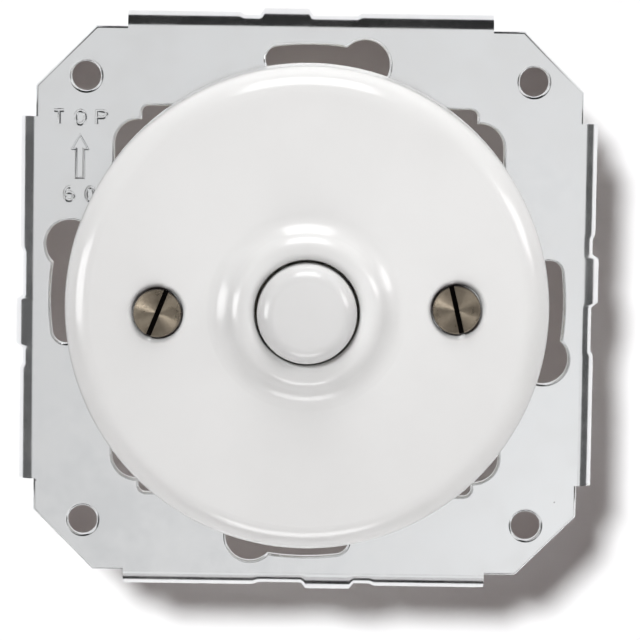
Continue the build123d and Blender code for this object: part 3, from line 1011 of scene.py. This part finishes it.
@dataclass
class Flag(SetPiece):
    """A dark board that only mirrors see, which gives bright metal its dark lines.

    Attributes:
        shade: How bright the board is.
    """

    shade: float = 0.03

    def build(self) -> bpy.types.Object:
        """Adds the board.

        Returns:
            The board.
        """
        deselect()
        bpy.ops.mesh.primitive_plane_add(size=1.0)
        board = bpy.context.object
        board.name = self.name
        board.data.transform(self.facing() @ Matrix.Diagonal((*self.size, 1.0, 1.0)))
        cloth, sheet = new_material(f"{self.name}_cloth")
        sheet.show("OutputMaterial", sheet.node("Emission", WHITE, self.shade).outputs[0])
        board.data.materials.append(cloth)
        hide(board, "camera", "diffuse", "shadow", "transmission")
        return board


@dataclass
class SoftBox(SetPiece):
    """A soft area lamp.

    Attributes:
        distance: Distance from the switch.
        radiance: How bright its face is, where white paper in plain light is 1.
        pieces: The only pieces that see the lamp, or none where all do.
        lights: Whether it lights them, and isn't just mirrored in them.
    """

    distance: float = 0.65
    radiance: float = 1.0
    pieces: tuple[str, ...] = ()
    lights: bool = True

    def build(self) -> bpy.types.Object:
        """Adds the lamp.

        Returns:
            The lamp.
        """
        lamp = bpy.data.lights.new(self.name, "AREA")
        lamp.shape = "RECTANGLE"
        lamp.size, lamp.size_y = self.size
        lamp.energy = AREA_POWER * self.radiance * lamp.size * lamp.size_y
        made = add(self.name, lamp)
        made.matrix_world = self.facing()
        if self.pieces:
            light_only(made, self.pieces)
        if not self.lights:
            hide(made, "diffuse")
        return made


class Stops(Enum):
    """Which rays a sheet of the set stops."""

    ALL = "all rays"
    FRONT = "rays that come from its front"
    EYES = "rays of a camera in its front"
    REAR = "rays that come from behind it"


@dataclass
class Studio:
    """Backdrop, floor, blinds, lamps and surroundings.

    Attributes:
        gap: Room between the back of the switch and the backdrop.
        reach: Half the width of the backdrop and the floor.
        paper_colour: Colour of the backdrop and the floor.
        floor_level: Height of the floor.
        floor_glow: How much paler the floor looks to the camera.
        shade_patch_size: Width of the patch of painted shade, shaped like a wall-box opening, in the
            backdrop behind the switch.
        shade_patch_cut: How much its corners are cut.
        shade_patch_drop: How far its middle lies below the button's axis.
        shade_patch_colour: Colour of that painted shade, and of the blinds.
        blind_size: Width of the sheet that closes the frame's holes to the key light.
        blind_cut: How much its corners are cut.
        blind_sink: How far it lies below the front of the frame.
        key_azimuth: Degrees that the key light stands left of the front.
        key_elevation: Degrees that it stands above the front.
        key_strength: Light of the key on a surface that faces it, where plain light is 1.
        wall_strength: Light that a second key adds on the backdrop and the floor alone.
        key_spread: Angle that the key light covers in degrees.
        key_colour: Tint of the key light.
        lamps: The soft lamps.
        flags: The dark boards.
        card_sides: Where the white card in front of the switch begins and ends, left, right, low and high.
        card_blur: Half the width of its soft edges.
        card_depths: Parts along Y between which the card fades out towards the sides.
        card_light: How bright the middle of the card is.
        card_middle: Where the switch's flat front mirrors it, along X and Z.
        card_rise: How much brighter it gets from left to right and from low to high.
        card_span: Half the width over which it gets brighter.
        glow_place: Middle of the brightest spot of the card, along X and Z.
        glow_size: Radius of that spot.
        glow_light: How much brighter the spot is.
        fill_share: How much of the card's light fills the shadows.
        fill_colour: Tint of that light and of the room's.
        dark_light: How much light comes from the room all round.
        sky_light: How much more comes from overhead.
        rear_light: How much comes from behind the switch.
        rear_depths: Parts along Y between which that light sets in.
        rear_shine: How bright the room behind looks in mirrors, low and high.
        shine_heights: Parts along Z between which it gets brighter.
        shine_depths: Parts along Y between which mirrors begin to see the room behind.
        pale: How bright the surroundings of the card look.
    """

    gap: float = 0.3 * MM
    reach: float = 1.4
    paper_colour: Colour = (0.95, 0.95, 0.95)
    floor_level: float = -1.15
    floor_glow: float = 0.55
    shade_patch_size: float = 69.0 * MM
    shade_patch_cut: float = 7.5 * MM
    shade_patch_drop: float = 2.0 * MM
    # Painted shade: a grey that only the camera sees through the frame's holes, in place of the shade behind
    # the plate.
    shade_patch_colour: Colour = (0.66, 0.615, 0.605)
    blind_size: float = 66.0 * MM
    blind_cut: float = 9.0 * MM
    blind_sink: float = 0.5 * MM
    key_azimuth: float = 13.7
    key_elevation: float = 19.2
    key_strength: float = 0.50
    wall_strength: float = 0.52
    key_spread: float = 9.5
    key_colour: Colour = (0.975, 0.99, 1.0)
    lamps: tuple[SoftBox, ...] = (
        SoftBox("top_box", polar=62, clock=90, size=(0.36, 0.34), radiance=5.5, pieces=GLAZED),
        SoftBox(
            "left_box", polar=60, clock=179, size=(0.34, 0.21), radiance=5.0, pieces=GLAZED, lights=False,
        ),
        SoftBox(
            "screw_box", polar=60, clock=162, size=(0.32, 0.19), radiance=5.0, pieces=SCREWS, lights=False,
        ),
        SoftBox("right_box", polar=60, clock=18, size=(0.28, 0.17), radiance=5.0, pieces=GLAZED),
        SoftBox("low_box", polar=60, clock=-92, size=(0.36, 0.2), radiance=4.1, pieces=GLAZED),
        SoftBox("rear_box", polar=165, clock=100, size=(0.6, 0.6), distance=0.8, radiance=3.2, pieces=REAR),
    )
    flags: tuple[Flag, ...] = (
        Flag("top_flag", polar=52, clock=90, size=(1.2, 1.87)),
        Flag("left_flag", polar=53, clock=185, size=(1.6, 0.6), shade=0.12),
        Flag("right_flag", polar=66, clock=-5, size=(1.35, 0.6), shade=0.10),
        Flag("low_flag", polar=82, clock=-90, size=(1.2, 0.7)),
    )
    card_sides: tuple[float, float, float, float] = (-0.30, 0.34, -0.40, 0.16)
    card_blur: float = 0.05
    card_depths: Point = (-0.1, 0.0)
    card_light: float = 0.80
    card_middle: Point = (0.0, -0.085)
    card_rise: Point = (0.04, 0.07)
    card_span: float = 0.09
    glow_place: Point = (0.09, -0.165)
    glow_size: float = 0.12
    glow_light: float = 0.40
    fill_share: float = 0.22
    fill_colour: Colour = (1.0, 0.50, 0.45)
    dark_light: float = 0.015
    sky_light: float = 0.05
    rear_light: float = 0.22
    rear_depths: Point = (-0.1, 0.25)
    rear_shine: Point = (0.55, 0.95)
    shine_heights: Point = (-0.4, 0.5)
    shine_depths: Point = (0.0, 0.3)
    pale: float = 0.93

    def slab(self, name: str, stops: Stops, glow: float = 0.0) -> bpy.types.Object:
        """Adds a large flat sheet of the set, lying level at the origin.

        Args:
            name: Its name.
            stops: Which rays it stops.
            glow: How much paler it looks to the camera.

        Returns:
            The sheet.
        """
        deselect()
        bpy.ops.mesh.primitive_plane_add(size=2 * self.reach)
        sheet = bpy.context.object
        sheet.name = name
        sheet.data.materials.append(self.paper(name, self.paper_colour, stops, glow))
        return sheet

    def paper(self, name: str, colour: Colour, stops: Stops, glow: float = 0.0) -> bpy.types.Material:
        """Makes the dull paper of the set.

        Args:
            name: Name of the material.
            colour: Its colour.
            stops: Which rays it stops.
            glow: How much paler it looks to the camera.

        Returns:
            The material.
        """
        made, sheet = new_material(f"{name}_paper")
        surface = sheet.node("BsdfDiffuse", (*colour, 1.0)).outputs[0]
        if glow:
            seen = sheet.math("MULTIPLY", sheet.node("LightPath").outputs["Is Camera Ray"], glow)
            light = sheet.node("Emission", (*colour, 1.0), seen)
            surface = sheet.node("AddShader", surface, light.outputs[0]).outputs[0]
        if stops is not Stops.ALL:
            share = sheet.node("NewGeometry").outputs["Backfacing"]
            if stops is not Stops.REAR:
                share = sheet.math("SUBTRACT", 1.0, share)
            if stops is Stops.EYES:
                share = sheet.math("MULTIPLY", share, sheet.node("LightPath").outputs["Is Camera Ray"])
            clear = sheet.node("BsdfTransparent").outputs[0]
            surface = sheet.node("MixShader", share, clear, surface).outputs[0]
        sheet.show("OutputMaterial", surface)
        return made

    def paint_shade_patch(self, sheet: bpy.types.Object) -> None:
        """Paints a patch of shade, shaped like a wall-box opening, in the middle of a sheet that lies flat;
        only the camera sees it, from the front.

        Args:
            sheet: The sheet.
        """
        activate(sheet)
        with whole_mesh():
            bpy.ops.mesh.inset(thickness=self.reach - self.shade_patch_size / 2)
            bpy.ops.mesh.bevel(offset=self.shade_patch_cut, affect="VERTICES")
        # Painted shade: a grey octagon that only camera rays from its front see.
        sheet.data.materials.append(self.paper("painted_wall_shade", self.shade_patch_colour, Stops.EYES))
        for face in sheet.data.polygons:
            face.material_index = int(len(face.vertices) == OCTAGON_CORNERS)

    def set_up(self) -> None:
        """Puts the backdrop behind the switch and the floor below it."""
        back = CAD_BOX[1].y + self.gap
        wall = self.slab("backdrop", Stops.FRONT)
        self.paint_shade_patch(wall)
        wall.data.transform(Matrix.Translation((0.0, back, -self.shade_patch_drop)) @ UPRIGHT)
        floor = self.slab("floor", Stops.ALL, self.floor_glow)
        floor.data.transform(Matrix.Translation((0.0, 0.0, self.floor_level)))

    def blind(self, name: str, size: float, cut: float, middle: Vector) -> bpy.types.Object:
        """Adds an upright sheet that closes an opening to the key light.

        Args:
            name: Its name.
            size: Its width.
            cut: How much its corners are cut.
            middle: Where its middle is.

        Returns:
            The sheet, which only casts a shadow.
        """
        deselect()
        bpy.ops.mesh.primitive_plane_add(size=size)
        sheet = bpy.context.object
        sheet.name = name
        with whole_mesh():
            bpy.ops.mesh.bevel(offset=cut, affect="VERTICES")
        sheet.data.transform(Matrix.Translation(middle) @ UPRIGHT)
        sheet.data.materials.append(self.paper(name, self.shade_patch_colour, Stops.REAR))
        hide(sheet, "camera", "diffuse", "glossy", "transmission")
        return sheet

    def key(self, name: str, strength: float) -> bpy.types.Object:
        """Adds a key light, which casts the shadow and leaves no mirror image.

        Args:
            name: Its name.
            strength: Its light on a surface that faces it, where plain light is 1.

        Returns:
            The lamp.
        """
        lamp = bpy.data.lights.new(name, "SUN")
        lamp.energy = strength * math.pi
        lamp.angle = math.radians(self.key_spread)
        lamp.color = self.key_colour
        made = add(name, lamp)
        azimuth, elevation = math.radians(self.key_azimuth), math.radians(self.key_elevation)
        source = Vector((-math.sin(azimuth), -math.cos(azimuth), math.tan(elevation)))
        made.rotation_euler = source.to_track_quat("Z", "Y").to_euler()
        hide(made, "glossy")
        return made

    def card_mask(self, sheet: Sheet, aside: Socket, depth: Socket, height: Socket) -> Socket:
        """Gives where the white card in front of the switch is.

        Args:
            sheet: The world's nodes.
            aside: The direction's part along X.
            depth: Its part along Y.
            height: Its part along Z.

        Returns:
            1 on the card and 0 beside it.
        """
        left, right, low, high = self.card_sides
        mask = sheet.ramp(depth, *self.card_depths, 1.0, 0.0)
        for part, begin, end in ((aside, left, right), (height, low, high)):
            for edge, *change in ((begin, 0.0, 1.0), (end, 1.0, 0.0)):
                soft = sheet.ramp(part, edge - self.card_blur, edge + self.card_blur, *change)
                mask = sheet.math("MULTIPLY", mask, soft)
        return mask

    def card_face(self, sheet: Sheet, aside: Socket, height: Socket) -> Socket:
        """Gives how bright the card is.

        Args:
            sheet: The world's nodes.
            aside: The direction's part along X.
            height: Its part along Z.

        Returns:
            The brightness in that direction.
        """
        light = self.card_light
        for part, middle, rise in zip((aside, height), self.card_middle, self.card_rise):
            across = sheet.ramp(part, middle - self.card_span, middle + self.card_span, -rise, rise)
            light = sheet.math("ADD", across, light)
        spots = zip((aside, height), self.glow_place)
        offsets = [sheet.math("SUBTRACT", part, spot) for part, spot in spots]
        squares = [sheet.math("MULTIPLY", part, part) for part in offsets]
        away = sheet.math("SQRT", sheet.math("ADD", *squares))
        return sheet.math("ADD", light, sheet.ramp(away, 0.0, self.glow_size, self.glow_light, 0.0))

    def surroundings(self) -> None:
        """Makes the world, which is white to the camera, gives little light and has a card for mirrors."""
        world = bpy.data.worlds.new("studio")
        world.use_nodes = True
        bpy.context.scene.world = world
        sheet = Sheet(world.node_tree)
        aside, depth, height = sheet.node("SeparateXYZ", sheet.node("TexCoord").outputs["Generated"]).outputs
        mask = self.card_mask(sheet, aside, depth, height)
        card = sheet.math("MULTIPLY", mask, self.card_face(sheet, aside, height))
        sky = sheet.math("MULTIPLY", sheet.math("MAXIMUM", height, 0.0), self.sky_light)
        room = sheet.math("ADD", sky, self.dark_light)
        rear_shine = sheet.ramp(height, *self.shine_heights, *self.rear_shine)
        shine = sheet.mix(sheet.ramp(depth, *self.shine_depths), (self.pale,) * 3, rear_shine)
        beside = sheet.math("MULTIPLY", sheet.math("SUBTRACT", 1.0, mask), shine)
        fill = sheet.math("MULTIPLY_ADD", card, self.fill_share, room)
        front = sheet.node("Background", (*self.fill_colour, 1.0), fill)
        rear = sheet.node("Background", WHITE, sheet.ramp(depth, *self.rear_depths, 0.0, self.rear_light))
        lit = sheet.node("AddShader", front.outputs[0], rear.outputs[0])
        shown = sheet.node("Background", WHITE, sheet.math("ADD", card, beside))
        path = sheet.node("LightPath").outputs
        mirrored = sheet.math("ADD", path["Is Glossy Ray"], path["Is Transmission Ray"])
        both = sheet.node("MixShader", mirrored, lit.outputs[0], shown.outputs[0])
        blank = sheet.node("Background", WHITE, 1.0)
        seen = sheet.node("MixShader", path["Is Camera Ray"], both.outputs[0], blank.outputs[0])
        sheet.show("OutputWorld", seen.outputs[0])

    def build(self) -> None:
        """Sets up the whole studio."""
        self.set_up()
        front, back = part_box("support_frame")[0].y + self.blind_sink, CAD_BOX[1].y + self.gap / 2
        self.blind("frame_blind", self.blind_size, self.blind_cut, Vector((0.0, front, 0.0)))
        self.blind("box_blind", self.shade_patch_size, self.shade_patch_cut, Vector((0.0, back, -self.shade_patch_drop)))
        self.key("key", self.key_strength)
        light_only(self.key("wall_key", self.wall_strength), ("backdrop", "floor"))
        for piece in (*self.lamps, *self.flags):
            piece.build()
        self.surroundings()


@dataclass
class StudioCamera:
    """Camera at the photograph's viewing angle.

    Attributes:
        distance: Distance from the origin.
        azimuth: Degrees to the right of the front.
        elevation: Degrees above the front.
        roll: Degrees that it is turned about its own axis.
        focal: Focal length in pixels.
        origin: Pixel on which the origin falls.
        picture: Width and height of the picture in pixels.
        sensor: Width of the sensor in millimetres.
        near: Distance from which it sees.
    """

    distance: float = 0.450
    azimuth: float = 0.005
    elevation: float = 4.899
    roll: float = 0.83
    focal: float = 3642.9
    origin: Point = (306.87, 301.53)
    picture: float = 640.0
    sensor: float = 36.0
    near: float = 0.01

    def build(self) -> bpy.types.Object:
        """Adds the camera and makes it the scene's own.

        Returns:
            The camera.
        """
        azimuth, elevation, roll = (math.radians(a) for a in (self.azimuth, self.elevation, self.roll))
        level = math.cos(elevation)
        towards = Vector((math.sin(azimuth) * level, -math.cos(azimuth) * level, math.sin(elevation)))
        ahead = -towards
        right = ahead.cross(Vector((0.0, 0.0, 1.0))).normalized()
        up = right.cross(ahead)
        aside, below = ((pixel - self.picture / 2) / self.focal for pixel in self.origin)
        ahead = (ahead - right * aside + up * below).normalized()
        right = ahead.cross(up).normalized()
        up = right.cross(ahead)
        turned_right = right * math.cos(roll) + up * math.sin(roll)
        turned_up = up * math.cos(roll) - right * math.sin(roll)
        lens = bpy.data.cameras.new("studio_camera")
        lens.sensor_width = self.sensor
        lens.lens = self.focal * self.sensor / self.picture
        lens.clip_start = self.near
        made = add("studio_camera", lens)
        columns = Matrix((turned_right, turned_up, -ahead)).transposed()
        made.matrix_world = Matrix.Translation(towards * self.distance) @ columns.to_4x4()
        bpy.context.scene.camera = made
        return made


def main() -> None:
    """Builds the looks and the studio in order."""
    logging.basicConfig(level=logging.INFO, format="%(message)s")
    bpy.context.scene.view_settings.view_transform = "Standard"
    deselect()
    front = (SupportFrame(), PorcelainFront(), ButtonCap())
    mechanism = (Housing(), Plunger(), *SPRINGS, Terminals())
    for assembly in (*front, *mechanism):
        assembly.build()
    Studio().build()
    StudioCamera().build()


if __name__ == "__main__":
    main()
